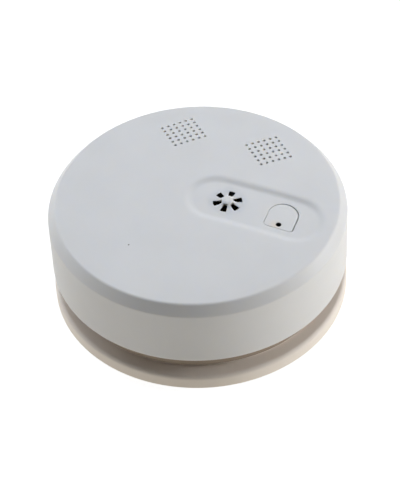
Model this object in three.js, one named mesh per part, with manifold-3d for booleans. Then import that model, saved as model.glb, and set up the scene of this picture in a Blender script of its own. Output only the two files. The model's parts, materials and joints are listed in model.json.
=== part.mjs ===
// Battery smoke alarm: a mounting plate on the ceiling side and an alarm head that twists onto it.
// Millimetres, +Z from the mounting face to the crown of the cover, origin at the centre of the mounting face.
// +X runs along the recess that holds the sounder opening and the test button.

import * as THREE from 'three';
import { mergeGeometries, mergeVertices } from 'three/addons/utils/BufferGeometryUtils.js';
import Module from 'manifold-3d';

const wasm = await Module();
wasm.setup();

// ---------------------------------------------------------------- driving dimensions

const GAP = 0.3;                       // room left between pieces that touch
const ROUND_SIDES = 48;                // sides of the large turned shapes

// Cover
const CROWN_Z = 48.7;                  // highest point of the cover
const DOME_DROP = 4.0;                 // fall of the dome from its crown to its edge
const DOME_R = 56.9;                   // edge of the dome, where the chamfer starts
const CHAMFER_R = 60.0;
const CHAMFER_Z = 40.65;
const SKIRT_R = 60.3;
const SKIRT_Z = 16.2;                  // lower edge of the skirt
const WALL = 2.2;

// Recess in the cover, a long oval along X
const RECESS_LEFT = 8.0;               // X of the two end-arc centres
const RECESS_RIGHT = 40.6;
const RECESS_HALF = 12.4;              // half width at the brim
const RECESS_FLOOR_HALF = 9.7;
const RECESS_DEPTH = 1.0;

// Vent grids: square grids turned by 45 degrees
const VENT_X = 18.55;
const VENT_Y = 34.1;
const VENT_COUNT = 6;
const VENT_PITCH = 2.683;
const VENT_R = 0.65;

// Sounder opening and the horn under it
const HORN_X = 13.0;
const SLOT_COUNT = 6;
const SLOT_INNER_R = 2.3;
const SLOT_OUTER_R = 5.9;
const SLOT_INNER_W = 1.5;
const SLOT_OUTER_W = 2.7;
const HUB_RISE = 0.8;                  // the middle of the sounder opening stands up this much
const HORN_R = 14.5;
const HORN_TOP = 45.0;

// Test button, a D with its flat side towards -Y
const BUTTON_X = 35.95;
const BUTTON_HALF = 5.8;
const BUTTON_FLAT_Y = -6.6;
const BUTTON_ARCH_Y = 1.1;             // centre of the round end
const BUTTON_CORNER = 1.3;
const BUTTON_TRAVEL = 0.6;
const FLANGE_TOP = 43.9;
const FLANGE_THICK = 1.2;
const FLANGE_OUT = 1.2;                // how far the flange stands out under the cover
const STEM_X = 35.7;
const STEM_Y = 3.5;
const STEM_R = 1.9;
const LED_X = 35.7;
const LED_Y = -4.7;
const LED_HOLE_R = 1.15;

// Rear housing
const NECK_R = 56.0;
const FLOOR_Z = 8.8;
const FLOOR_THICK = 2.0;
const NECK_TOP = 34.0;
const WINDOW_COUNT = 8;

// Mounting plate
const PLATE_R = 60.5;
const PLATE_TOP = 6.3;
const PLATE_THICK = 2.5;
const PLATE_RIM = 2.2;
const PLATE_HOLE_R = 18.0;
const SCREW_SLOT_R = 30.0;             // middle line of the two arc slots for the ceiling screws
const SCREW_SLOT_HALF = 2.4;
const SCREW_SLOT_HALF_ANGLE = 10;
const SEAT_OUTER_R = 54.0;
const SEAT_WIDTH = 2.8;

// Bayonet: three hooks of the plate through three slots of the housing floor
const HOOK_ANGLES = [30, 150, 270];
const HOOK_HALF_ANGLE = 6.0;
const HOOK_INNER_R = 46.0;
const HOOK_POST = 1.6;
const HOOK_LIP = 3.6;
const TWIST = 13.0;                    // degrees from locked to free
const SLOT_SPARE_ANGLE = 0.5;

// Three long screws hold cover and rear housing together
const SCREW_CIRCLE_R = 47.0;
const SCREW_ANGLES = [90, 210, 330];
const TUBE_TOP = 24.0;

// Circuit board
const PCB_R = 50.0;
const PCB_Z = 20.0;
const PCB_THICK = 1.6;
const PCB_CUT_Y = -11.5;
const PCB_SCREWS = [[-44.5, -6], [43, -4], [24, 34]];
const PCB_TOP = PCB_Z + PCB_THICK;
const ON_PCB = PCB_TOP + GAP;          // where the pieces on the board start

// Optical smoke chamber
const CHAMBER_X = -26.0;
const CHAMBER_Y = 12.0;
const CHAMBER_R = 21.0;
const CHAMBER_TOP = 38.5;
const VANE_COUNT = 16;
const EMITTER_ANGLE = 200;
const SCATTER_ANGLE = 135;
const OPTIC_Z = 28.3;
const OPTIC_R = 2.5;

// Battery bay and the 9 V block battery in it
const BATTERY_X = -24.0;               // end of the battery without terminals
const BATTERY_Y = -26.85;              // middle of its width
const BATTERY_Z = 9.6;
const BATTERY_LENGTH = 46.4;
const BATTERY_WIDTH = 26.5;
const BATTERY_HEIGHT = 17.5;
const BAY_SPARE = 0.5;
const BAY_END_X = 30.0;
const BAY_WALL = 1.5;
const TERMINAL_PITCH = 12.7;

// ---------------------------------------------------------------- tools for closed shapes

const radians = (degrees) => degrees * Math.PI / 180;
const polar = (r, degrees, x = 0, y = 0) => [x + r * Math.cos(radians(degrees)), y + r * Math.sin(radians(degrees))];
const domeZ = (x, y) => CROWN_Z - DOME_DROP * (x * x + y * y) / DOME_R ** 2;

// A closed solid from a three.js geometry
function solid(geometry) {
  const bare = geometry.index ? geometry.clone() : geometry;
  for (const name of ['normal', 'uv', 'uv1']) bare.deleteAttribute(name);
  const merged = mergeVertices(bare, 1e-4);
  const corners = [];
  const index = merged.index.array;
  for (let i = 0; i < index.length; i += 3) {
    const [a, b, c] = [index[i], index[i + 1], index[i + 2]];
    if (a !== b && b !== c && c !== a) corners.push(a, b, c);
  }
  return new wasm.Manifold(new wasm.Mesh({
    numProp: 3,
    vertProperties: new Float32Array(merged.attributes.position.array),
    triVerts: new Uint32Array(corners),
  }));
}

// A three.js geometry from a closed solid
function surface(body) {
  const mesh = body.getMesh();
  const geometry = new THREE.BufferGeometry();
  geometry.setAttribute('position', new THREE.BufferAttribute(new Float32Array(mesh.vertProperties), 3));
  geometry.setIndex(new THREE.BufferAttribute(new Uint32Array(mesh.triVerts), 1));
  geometry.computeVertexNormals();
  return geometry;
}

const joined = (bodies) => bodies.reduce((sum, body) => sum.add(body));
const cut = (body, ...cutters) => cutters.reduce((left, cutter) => left.subtract(cutter), body);

// Turned about Z; the profile of [r, z] points runs up the outside
function turned(profile, sides = ROUND_SIDES, x = 0, y = 0) {
  const points = profile.map(([r, z]) => new THREE.Vector2(r, z));
  return new THREE.LatheGeometry(points, sides).rotateX(Math.PI / 2).translate(x, y, 0);
}

const ring = (profile, sides, x, y) => turned([...profile, profile[0]], sides, x, y);

function cylinder(r, z0, z1, x = 0, y = 0, sides = 16) {
  return new THREE.CylinderGeometry(r, r, z1 - z0, sides).rotateX(Math.PI / 2).translate(x, y, (z0 + z1) / 2);
}

function box(x0, y0, z0, x1, y1, z1) {
  return new THREE.BoxGeometry(x1 - x0, y1 - y0, z1 - z0)
    .translate((x0 + x1) / 2, (y0 + y1) / 2, (z0 + z1) / 2);
}

function prism(shape, z0, z1, curveSegments = 6) {
  return new THREE.ExtrudeGeometry(shape, { depth: z1 - z0, bevelEnabled: false, curveSegments }).translate(0, 0, z0);
}

function sector(r0, r1, from, to, z0, z1, steps = 3) {
  const shape = new THREE.Shape();
  shape.absarc(0, 0, r1, radians(from), radians(to), false);
  shape.absarc(0, 0, r0, radians(to), radians(from), true);
  return prism(shape, z0, z1, steps);
}

// A round wire along hand-placed points
function wire(points, r, steps, sides = 8) {
  const path = new THREE.CatmullRomCurve3(points.map((p) => new THREE.Vector3(...p)));
  const section = new THREE.Shape(new THREE.Path().absarc(0, 0, r, 0, 2 * Math.PI).getPoints(sides).slice(0, sides));
  return new THREE.ExtrudeGeometry(section, { steps, extrudePath: path });
}

const model = new THREE.Group();
model.name = 'smoke_alarm';

const finishes = {
  white: { color: 0xe9ebee, roughness: 0.5 },
  warm_white: { color: 0xdedad2, roughness: 0.55 },
  black: { color: 0x15161a, roughness: 0.6 },
  green: { color: 0x1f5a34, roughness: 0.45 },
  steel: { color: 0x9a9da1, roughness: 0.35, metalness: 0.9 },
  brass: { color: 0xb8923f, roughness: 0.3, metalness: 0.9 },
  ceramic: { color: 0xe6e1d2, roughness: 0.7 },
  clear: { color: 0xdfe6ea, roughness: 0.1 },
  amber: { color: 0xd9691c, roughness: 0.2 },
  red: { color: 0xb3201c, roughness: 0.5 },
  copper: { color: 0xb0672f, roughness: 0.4, metalness: 0.6 },
  battery: { color: 0x3d4a5c, roughness: 0.4, metalness: 0.3 },
};

function add(name, shape, finish) {
  const geometry = surface(shape.isBufferGeometry ? solid(shape) : shape);
  const mesh = new THREE.Mesh(geometry, new THREE.MeshStandardMaterial(finishes[finish]));
  mesh.name = name;
  model.add(mesh);
}

// ---------------------------------------------------------------- outlines

// The button's D, grown on all sides by `grow`
function buttonOutline(grow) {
  const half = BUTTON_HALF + grow;
  const corner = BUTTON_CORNER + grow;
  const flat = BUTTON_FLAT_Y - grow;
  const shape = new THREE.Shape();
  shape.absarc(BUTTON_X, BUTTON_ARCH_Y, half, 0, Math.PI, false);
  shape.absarc(BUTTON_X - half + corner, flat + corner, corner, Math.PI, 1.5 * Math.PI, false);
  shape.absarc(BUTTON_X + half - corner, flat + corner, corner, 1.5 * Math.PI, 2 * Math.PI, false);
  return shape;
}

// One slot of the sounder opening, which widens outwards
function slotOutline(degrees) {
  const corners = [
    [SLOT_INNER_R, -SLOT_INNER_W / 2], [SLOT_OUTER_R, -SLOT_OUTER_W / 2],
    [SLOT_OUTER_R, SLOT_OUTER_W / 2], [SLOT_INNER_R, SLOT_INNER_W / 2],
  ];
  const turn = radians(degrees);
  return new THREE.Shape(corners.map(([along, across]) => new THREE.Vector2(
    HORN_X + along * Math.cos(turn) - across * Math.sin(turn),
    along * Math.sin(turn) + across * Math.cos(turn),
  )));
}

function* ventCentres() {
  const middle = (VENT_COUNT - 1) / 2;
  const step = VENT_PITCH / Math.SQRT2;
  for (const side of [-1, 1]) {
    for (let i = 0; i < VENT_COUNT; i++) {
      for (let j = 0; j < VENT_COUNT; j++) {
        yield [side * VENT_X + (i - j) * step, VENT_Y + (i + j - 2 * middle) * step];
      }
    }
  }
}

// Outline of the recess at a given half width, from its right tip round to its left tip and back
function recessOutline(half) {
  const arcSteps = 5;
  const straightSteps = 7;
  const upper = [];
  for (let i = 0; i <= arcSteps; i++) upper.push(polar(half, 90 * i / arcSteps, RECESS_RIGHT));
  for (let i = 1; i < straightSteps; i++) {
    upper.push([RECESS_RIGHT + (RECESS_LEFT - RECESS_RIGHT) * i / straightSteps, half]);
  }
  for (let i = 0; i <= arcSteps; i++) upper.push(polar(half, 90 + 90 * i / arcSteps, RECESS_LEFT));
  const lower = upper.slice(1, -1).reverse().map(([x, y]) => [x, -y]);
  return [...upper, ...lower];
}

// The space above the recess floor: its walls slope, and its floor and brim follow the dome
function recessSpace() {
  const slope = (RECESS_HALF - RECESS_FLOOR_HALF) / RECESS_DEPTH;
  const clear = 0.2;
  const levels = [
    [RECESS_FLOOR_HALF, -RECESS_DEPTH],
    [RECESS_HALF + slope * clear, clear],
    [RECESS_HALF + slope * clear, 6],
  ];
  const rings = levels.map(([half, lift]) => recessOutline(half).map(([x, y]) => [x, y, domeZ(x, y) + lift]));
  const count = rings[0].length;
  const index = [];
  for (let level = 0; level + 1 < rings.length; level++) {
    for (let i = 0; i < count; i++) {
      const next = (i + 1) % count;
      const [a, b] = [level * count + i, level * count + next];
      index.push(a, b, b + count, a, b + count, a + count);
    }
  }
  const top = (rings.length - 1) * count;
  for (let i = 0; i < count / 2; i++) {
    const [a, b, c, d] = [i, i + 1, count - i - 1, (count - i) % count];
    if (a !== d) index.push(a, d, c, top + a, top + c, top + d);
    if (b !== c) index.push(a, c, b, top + a, top + b, top + c);
  }
  const geometry = new THREE.BufferGeometry();
  geometry.setAttribute('position', new THREE.Float32BufferAttribute(rings.flat(2), 3));
  geometry.setIndex(index);
  return geometry;
}

// ---------------------------------------------------------------- mounting plate

function hook(angle) {
  const [from, to] = [angle - HOOK_HALF_ANGLE, angle + HOOK_HALF_ANGLE];
  const lipZ = FLOOR_Z + FLOOR_THICK + GAP;
  const post = sector(HOOK_INNER_R, HOOK_INNER_R + HOOK_POST, from, to, PLATE_TOP - 1, lipZ + 1);
  const lip = sector(HOOK_INNER_R, HOOK_INNER_R + HOOK_LIP, from, to, lipZ, lipZ + 1.5);
  return solid(post).add(solid(lip));
}

function mountingPlate() {
  const under = PLATE_TOP - PLATE_THICK;
  const edge = 1.6;                    // rounding of the upper edge
  const corner = [90, 45, 0].map((a) => polar(edge, a, PLATE_R - edge, PLATE_TOP - edge)).reverse();
  const disc = ring([
    [PLATE_R - PLATE_RIM, 0], [PLATE_R, 0], ...corner,
    [SEAT_OUTER_R, PLATE_TOP], [SEAT_OUTER_R, FLOOR_Z - GAP],
    [SEAT_OUTER_R - SEAT_WIDTH, FLOOR_Z - GAP], [SEAT_OUTER_R - SEAT_WIDTH, PLATE_TOP],
    [PLATE_HOLE_R, PLATE_TOP], [PLATE_HOLE_R, 0], [PLATE_HOLE_R + PLATE_RIM, 0],
    [PLATE_HOLE_R + PLATE_RIM, under], [PLATE_R - PLATE_RIM, under],
  ]);
  const ribs = [45, 135, 225, 315].map((angle) => box(PLATE_HOLE_R + 1, -0.8, 0, PLATE_R - 1, 0.8, under + 1)
    .rotateZ(radians(angle)));
  const screwSlots = [0, 180].map((angle) => sector(SCREW_SLOT_R - SCREW_SLOT_HALF, SCREW_SLOT_R + SCREW_SLOT_HALF,
    angle - SCREW_SLOT_HALF_ANGLE, angle + SCREW_SLOT_HALF_ANGLE, under - 1, PLATE_TOP + 1));
  const body = joined([solid(disc), ...ribs.map(solid), ...HOOK_ANGLES.map(hook)]);
  return cut(body, ...screwSlots.map(solid));
}

add('mounting_plate', mountingPlate(), 'warm_white');

// ---------------------------------------------------------------- rear housing

const screwCentres = SCREW_ANGLES.map((angle) => polar(SCREW_CIRCLE_R, angle));
const floorTop = FLOOR_Z + FLOOR_THICK;

// Narrow where the hook is locked, wide where its lip goes in
function bayonetSlot(angle) {
  const [low, high] = [FLOOR_Z - 1, floorTop + 1];
  const reach = HOOK_HALF_ANGLE + SLOT_SPARE_ANGLE;
  const start = angle - TWIST - reach;
  const narrow = sector(HOOK_INNER_R - GAP, HOOK_INNER_R + HOOK_POST + GAP, start, angle + reach, low, high, 5);
  const wide = sector(HOOK_INNER_R - GAP, HOOK_INNER_R + HOOK_LIP + GAP, start, start + 2 * reach, low, high);
  return solid(narrow).add(solid(wide));
}

function rearHousing() {
  const wall = 2.0;
  const shell = turned([
    [0, FLOOR_Z], [NECK_R - 0.5, FLOOR_Z], [NECK_R, FLOOR_Z + 0.5], [NECK_R, NECK_TOP],
    [NECK_R - wall, NECK_TOP], [NECK_R - wall, floorTop], [0, floorTop],
  ]);
  const bayTop = BATTERY_Z + BATTERY_HEIGHT + GAP;
  const bay = {
    x0: BATTERY_X - BAY_SPARE, x1: BAY_END_X,
    y0: BATTERY_Y - BATTERY_WIDTH / 2 - BAY_SPARE, y1: BATTERY_Y + BATTERY_WIDTH / 2 + BAY_SPARE,
  };
  const bayShell = box(bay.x0 - BAY_WALL, bay.y0 - BAY_WALL, FLOOR_Z, bay.x1 + BAY_WALL, bay.y1 + BAY_WALL,
    bayTop + BAY_WALL);
  const bayRoom = box(bay.x0, bay.y0, FLOOR_Z - 1, bay.x1, bay.y1, bayTop);
  const leadWindow = box(24.5, -25, bayTop - 1, bay.x1, -15.5, bayTop + BAY_WALL + 1);
  const tubes = screwCentres.map(([x, y]) => cylinder(4.6, FLOOR_Z, TUBE_TOP, x, y, 14));
  const pockets = screwCentres.flatMap(([x, y]) => [
    cylinder(3.3, FLOOR_Z - 1, TUBE_TOP - 1.6, x, y, 12), cylinder(1.7, FLOOR_Z, TUBE_TOP + 1, x, y, 8),
  ]);
  const posts = PCB_SCREWS.map(([x, y]) => cylinder(3, FLOOR_Z, PCB_Z - GAP, x, y, 10));
  const pilots = PCB_SCREWS.map(([x, y]) => cylinder(1.15, 13, PCB_Z + 1, x, y, 8));
  const windows = Array.from({ length: WINDOW_COUNT }, (_, i) => box(NECK_R - 4, -7, 18, NECK_R + 2, 7, 31)
    .rotateZ(radians((i + 0.5) * 360 / WINDOW_COUNT)));
  const body = joined([shell, bayShell, ...tubes, ...posts].map(solid));
  return cut(body, ...HOOK_ANGLES.map(bayonetSlot),
    ...[bayRoom, leadWindow, ...pockets, ...pilots, ...windows].map(solid));
}

add('rear_housing', rearHousing(), 'warm_white');

// ---------------------------------------------------------------- cover

function cover() {
  const dome = [0, 22, 42, DOME_R].map((r) => [r, domeZ(r, 0)]);
  const under = [0, 30, DOME_R - 1.4].map((r) => [r, domeZ(r, 0) - WALL]);
  const shell = turned([
    ...under, [CHAMFER_R - WALL, CHAMFER_Z - 0.8], [SKIRT_R - WALL, SKIRT_Z], [SKIRT_R, SKIRT_Z],
    [CHAMFER_R, CHAMFER_Z], ...dome.reverse(),
  ]);
  const bosses = screwCentres.map(([x, y]) => cylinder(3.6, TUBE_TOP + GAP, domeZ(x, y) - 1, x, y, 12));
  const pilots = screwCentres.map(([x, y]) => cylinder(1.4, TUBE_TOP, TUBE_TOP + 12, x, y, 8));
  const vents = mergeGeometries([...ventCentres()].map(([x, y]) => cylinder(VENT_R, 42, 50, x, y, 6)));
  const slots = Array.from({ length: SLOT_COUNT }, (_, i) => prism(slotOutline(30 + i * 360 / SLOT_COUNT), 42, 50));
  const buttonHole = prism(buttonOutline(GAP), 40, 50, 8);
  const hubZ = domeZ(HORN_X, 0) - RECESS_DEPTH;
  const hub = turned([
    [0, hubZ - 0.6], [SLOT_INNER_R - 0.1, hubZ - 0.6], [SLOT_INNER_R - 0.1, hubZ],
    [SLOT_INNER_R / 2, hubZ + 0.8 * HUB_RISE], [0, hubZ + HUB_RISE],
  ], 14, HORN_X);
  return cut(joined([shell, ...bosses].map(solid)),
    ...[recessSpace(), vents, ...slots, buttonHole, ...pilots].map(solid)).add(solid(hub));
}

add('cover', cover(), 'white');

screwCentres.forEach(([x, y], i) => {
  const seat = TUBE_TOP - 1.6 - GAP;
  const profile = [[0, seat - 2.2], [2.2, seat - 2.2], [2.9, seat - 1.4], [2.9, seat], [1.05, seat],
    [1.05, seat + 11.5], [0, seat + 12.5]];
  const drive = box(x - 1.7, y - 0.4, seat - 3, x + 1.7, y + 0.4, seat - 1.3);
  const cross = box(x - 0.4, y - 1.7, seat - 3, x + 0.4, y + 1.7, seat - 1.3);
  add(`housing_screw_${i + 1}`, cut(solid(turned(profile, 10, x, y)), solid(drive), solid(cross)), 'steel');
});

// ---------------------------------------------------------------- test button and its switch

function testButton() {
  const outline = buttonOutline(0);
  const top = prism(outline, FLANGE_TOP - 0.5, CROWN_Z, 8);
  const position = top.attributes.position;
  for (let i = 0; i < position.count; i++) {
    const [x, y, z] = [position.getX(i), position.getY(i), position.getZ(i)];
    if (z > CROWN_Z - 1) position.setZ(i, domeZ(x, y) - RECESS_DEPTH);
  }
  const flange = prism(buttonOutline(FLANGE_OUT), FLANGE_TOP - FLANGE_THICK, FLANGE_TOP, 8);
  const stem = cylinder(STEM_R, ON_PCB + 6.0, FLANGE_TOP - 0.6, STEM_X, STEM_Y, 12);
  const bore = cylinder(LED_HOLE_R, 40, CROWN_Z, LED_X, LED_Y, 12);
  return cut(joined([top, flange, stem].map(solid)), solid(bore));
}

add('test_button', testButton(), 'white');

const guideTop = 34.0;
add('button_guide', ring([
  [5.6, ON_PCB], [5.6, 31], [4.6, guideTop], [2.3, guideTop], [2.3, 30], [4.7, 28.5], [4.7, ON_PCB],
], 16, STEM_X, STEM_Y), 'black');

function buttonSpring() {
  const [turns, wireR, meanR] = [5, 0.28, 3.3];
  const z0 = guideTop + GAP + wireR;
  const z1 = FLANGE_TOP - FLANGE_THICK - GAP - wireR;
  const steps = turns * 10;
  const points = Array.from({ length: steps + 1 }, (_, i) => [
    ...polar(meanR, 360 * turns * i / steps, STEM_X, STEM_Y), z0 + (z1 - z0) * i / steps,
  ]);
  return wire(points, wireR, steps, 5);
}

add('button_spring', buttonSpring(), 'steel');

const switchTop = ON_PCB + 3.5;
const plungerRoom = cylinder(1.9, switchTop - 1.4, switchTop + 1, STEM_X, STEM_Y);
const switchBlock = box(STEM_X - 3, STEM_Y - 3, ON_PCB, STEM_X + 3, STEM_Y + 3, switchTop);
add('switch_body', cut(solid(switchBlock), solid(plungerRoom)), 'black');
add('switch_plunger', cylinder(1.55, switchTop - 1.4 + BUTTON_TRAVEL + GAP / 2, ON_PCB + 5.7, STEM_X, STEM_Y), 'black');

add('status_led', turned([
  [0, ON_PCB], [1.9, ON_PCB], [1.9, ON_PCB + 0.9], [1.5, ON_PCB + 0.9], [1.5, ON_PCB + 3.6],
  [1.3, ON_PCB + 4.35], [0.75, ON_PCB + 4.9], [0, ON_PCB + 5.1],
], 12, LED_X, LED_Y), 'amber');

add('light_pipe', turned([
  [0, ON_PCB + 5.7], [1.8, ON_PCB + 5.7], [1.8, ON_PCB + 1.3], [2.4, ON_PCB + 1.3], [2.4, ON_PCB + 6.6],
  [0.75, ON_PCB + 8.6], [0.75, 42.4], [0.5, 42.6], [0, 42.6],
], 12, LED_X, LED_Y), 'clear');

// ---------------------------------------------------------------- circuit board

function circuitBoard() {
  const disc = cylinder(PCB_R, PCB_Z, PCB_TOP, 0, 0, 48);
  const cutAway = box(-PCB_R - 1, -PCB_R - 1, PCB_Z - 1, PCB_R + 1, PCB_CUT_Y, PCB_TOP + 1);
  const [x, y] = screwCentres[0];
  const notch = box(x - 5.2, y - 5.2, PCB_Z - 1, x + 5.2, y + 10, PCB_TOP + 1);
  const holes = PCB_SCREWS.map(([hx, hy]) => cylinder(1.3, PCB_Z - 1, PCB_TOP + 1, hx, hy, 8));
  return cut(solid(disc), ...[cutAway, notch, ...holes].map(solid));
}

add('pcb', circuitBoard(), 'green');

PCB_SCREWS.forEach(([x, y], i) => {
  const profile = [[0, 13.6], [0.8, 14.4], [0.8, ON_PCB], [2.4, ON_PCB], [2.4, ON_PCB + 0.8],
    [1.8, ON_PCB + 1.5], [0, ON_PCB + 1.5]];
  const drive = box(x - 1.4, y - 0.35, ON_PCB + 0.8, x + 1.4, y + 0.35, ON_PCB + 2);
  add(`pcb_screw_${i + 1}`, cut(solid(turned(profile, 10, x, y)), solid(drive)), 'steel');
});

add('controller_ic', box(7, -6.8, ON_PCB, 17, 0.7, ON_PCB + 2.2), 'black');
[[-0.5, -6.2], [6, 9]].forEach(([x, y], i) => {
  const top = ON_PCB + 8.8;
  add(`capacitor_${i + 1}`, turned([
    [0, ON_PCB], [3.2, ON_PCB], [3.2, ON_PCB + 1.0], [2.95, ON_PCB + 1.4], [3.2, ON_PCB + 1.8],
    [3.2, top - 0.3], [2.9, top], [0, top],
  ], 12, x, y), 'black');
});

function boostCoil() {
  const top = ON_PCB + 7.5;
  return turned([
    [0, ON_PCB], [4.5, ON_PCB], [4.5, ON_PCB + 1.1], [3.7, ON_PCB + 1.1], [3.7, top - 1.1],
    [4.5, top - 1.1], [4.5, top], [0, top],
  ], 14, 24, 15);
}

add('boost_coil', boostCoil(), 'copper');

// ---------------------------------------------------------------- optical smoke chamber

const inChamber = (geometry, degrees = 0) => geometry.rotateZ(radians(degrees)).translate(CHAMBER_X, CHAMBER_Y, 0);
const opticAngles = [EMITTER_ANGLE, EMITTER_ANGLE + SCATTER_ANGLE];

function chamberBase() {
  const floor = ON_PCB + 1.5;
  const tray = turned([
    [0, ON_PCB], [CHAMBER_R, ON_PCB], [CHAMBER_R, 25.4], [CHAMBER_R - 0.8, 25.4], [CHAMBER_R - 0.8, floor], [0, floor],
  ], 32);
  const holders = opticAngles.map((angle) => box(8, -4, floor - 0.5, 13.6, 4, OPTIC_Z + 3.4).rotateZ(radians(angle)));
  const bores = opticAngles.map((angle) => new THREE.CylinderGeometry(OPTIC_R + GAP, OPTIC_R + GAP, 10, 12)
    .rotateZ(Math.PI / 2).translate(11, 0, OPTIC_Z).rotateZ(radians(angle)));
  const parts = [inChamber(tray), ...holders.map((g) => inChamber(g))];
  return cut(joined(parts.map(solid)), ...bores.map((g) => solid(inChamber(g))));
}

add('chamber_base', chamberBase(), 'black');

// Round body with a domed lens, lying along the radius with the lens inwards
function optic(degrees) {
  const length = 6.2;
  const lens = [90, 60, 30, 0].map((a) => [OPTIC_R * Math.cos(radians(a)), -1.6 * Math.sin(radians(a))]);
  const profile = [...lens, [OPTIC_R, length], [0, length]];
  return inChamber(turned(profile, 12).rotateY(Math.PI / 2).translate(7.3, 0, OPTIC_Z), degrees);
}

add('ir_emitter', optic(opticAngles[0]), 'clear');
add('photodiode', optic(opticAngles[1]), 'black');

function labyrinth() {
  const cap = turned([
    [0, CHAMBER_TOP - 1.5], [CHAMBER_R, CHAMBER_TOP - 1.5], [CHAMBER_R, CHAMBER_TOP - 0.3],
    [CHAMBER_R - 0.5, CHAMBER_TOP], [0, CHAMBER_TOP],
  ], 32);
  const vane = (angle) => box(-2.6, -0.5, 25.7, 2.6, 0.5, CHAMBER_TOP - 1)
    .rotateZ(radians(40)).translate(17, 0, 0).rotateZ(radians(angle));
  const vanes = Array.from({ length: VANE_COUNT }, (_, i) => vane(i * 360 / VANE_COUNT));
  return joined([cap, ...vanes].map((g) => solid(inChamber(g))));
}

add('labyrinth', labyrinth(), 'black');

function insectScreen() {
  const [outer, inner, low, high] = [CHAMBER_R - 0.35, CHAMBER_R - 0.75, 25.7, CHAMBER_TOP - 1.8];
  const band = ring([[outer, low], [outer, high], [inner, high], [inner, low]], 24);
  const count = 8;
  const windows = Array.from({ length: count }, (_, i) => box(inner - 2, -5.8, low + 1, outer + 2, 5.8, high - 1)
    .rotateZ(radians(i * 360 / count)));
  return cut(solid(inChamber(band)), ...windows.map((g) => solid(inChamber(g))));
}

add('insect_screen', insectScreen(), 'steel');

// ---------------------------------------------------------------- horn

const piezoZ = 38.0;
const hornInner = HORN_R - 1.3;
add('horn_cup', ring([
  [HORN_R, 33], [HORN_R, HORN_TOP], [6.3, HORN_TOP], [6.3, HORN_TOP - 1.5], [hornInner, HORN_TOP - 1.5],
  [hornInner, piezoZ + 2], [hornInner - 1.7, piezoZ + 2], [hornInner - 1.7, piezoZ + 0.6],
  [hornInner, piezoZ + 0.6], [hornInner, 33],
], 28, HORN_X, 0), 'black');
add('piezo_plate', cylinder(12.9, piezoZ, piezoZ + 0.3, HORN_X, 0, 28), 'brass');
add('piezo_ceramic', cylinder(10, piezoZ - 0.55, piezoZ - GAP, HORN_X, 0, 24), 'ceramic');
add('horn_ring', ring([
  [12.9, 34.5], [12.9, piezoZ - GAP], [11, piezoZ - GAP], [11, 34.5],
], 28, HORN_X, 0), 'black');

const hornLead = (side) => {
  const y = 4 * side;
  return wire([
    [HORN_X + 4, y, piezoZ - 0.95], [HORN_X + 4.4, y, 35], [HORN_X + 5.5, y + 3 * side, 29],
    [HORN_X + 6, y + 5 * side, 25], [HORN_X + 6, y + 5 * side, ON_PCB],
  ], 0.4, 10, 6);
};
add('horn_lead_red', hornLead(1), 'red');
add('horn_lead_black', hornLead(-1), 'black');

// ---------------------------------------------------------------- battery and its connector

function blockBattery() {
  const corner = 2.2;
  const [y0, y1] = [BATTERY_Y - BATTERY_WIDTH / 2, BATTERY_Y + BATTERY_WIDTH / 2];
  const [z0, z1] = [BATTERY_Z, BATTERY_Z + BATTERY_HEIGHT];
  const shape = new THREE.Shape();
  const centres = [[y1 - corner, z1 - corner], [y0 + corner, z1 - corner],
    [y0 + corner, z0 + corner], [y1 - corner, z0 + corner]];
  centres.forEach(([y, z], i) => {
    shape.absarc(y, z, corner, i * Math.PI / 2, (i + 1) * Math.PI / 2, false);
  });
  const along = new THREE.Matrix4().set(0, 0, 1, BATTERY_X, 1, 0, 0, 0, 0, 1, 0, 0, 0, 0, 0, 1);
  return prism(shape, 0, BATTERY_LENGTH, 3).applyMatrix4(along);
}

add('battery', blockBattery(), 'battery');

const batteryEnd = BATTERY_X + BATTERY_LENGTH;
const terminalZ = BATTERY_Z + BATTERY_HEIGHT / 2;
const onTerminalAxis = (geometry, side) => geometry.rotateY(Math.PI / 2)
  .translate(batteryEnd + GAP, BATTERY_Y + side * TERMINAL_PITCH / 2, terminalZ);
add('battery_terminal_positive', onTerminalAxis(turned([
  [0, 0], [2.7, 0], [2.7, 1.0], [2.9, 1.6], [2.7, 2.2], [0, 2.2],
], 18), 1), 'steel');
add('battery_terminal_negative', onTerminalAxis(turned([
  [0, 0], [4.1, 0], [4.3, 2.2], [3.3, 2.2], [3.1, 0.6], [0, 0.6],
], 6), -1), 'steel');

const snapX = batteryEnd + GAP + 2.2 + GAP;
add('snap_connector', box(snapX, BATTERY_Y - 12, terminalZ - 6.5, snapX + 3.4, BATTERY_Y + 12, terminalZ + 6.5), 'black');

const batteryLead = (y, landX) => {
  const x = snapX + 1.7;
  return wire([
    [x, y, terminalZ + 6.8], [x, y, 28], [x, y + 2.5, 31], [(x + landX) / 2, -10, 31.5],
    [landX, -6.6, 27], [landX, -6, ON_PCB],
  ], 0.65, 14, 6);
};
add('battery_lead_red', batteryLead(-18.2, 25.4), 'red');
add('battery_lead_black', batteryLead(-22.4, 22.2), 'black');

export default model;
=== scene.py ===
"""The looks of the smoke alarm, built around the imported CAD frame.

Meshes are worked out in millimetres in the CAD frame and scaled to metres when an object is made.
"""
import json
import math

import bpy
import numpy as np
from mathutils import Matrix, Vector
from mathutils.geometry import delaunay_2d_cdt


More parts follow.
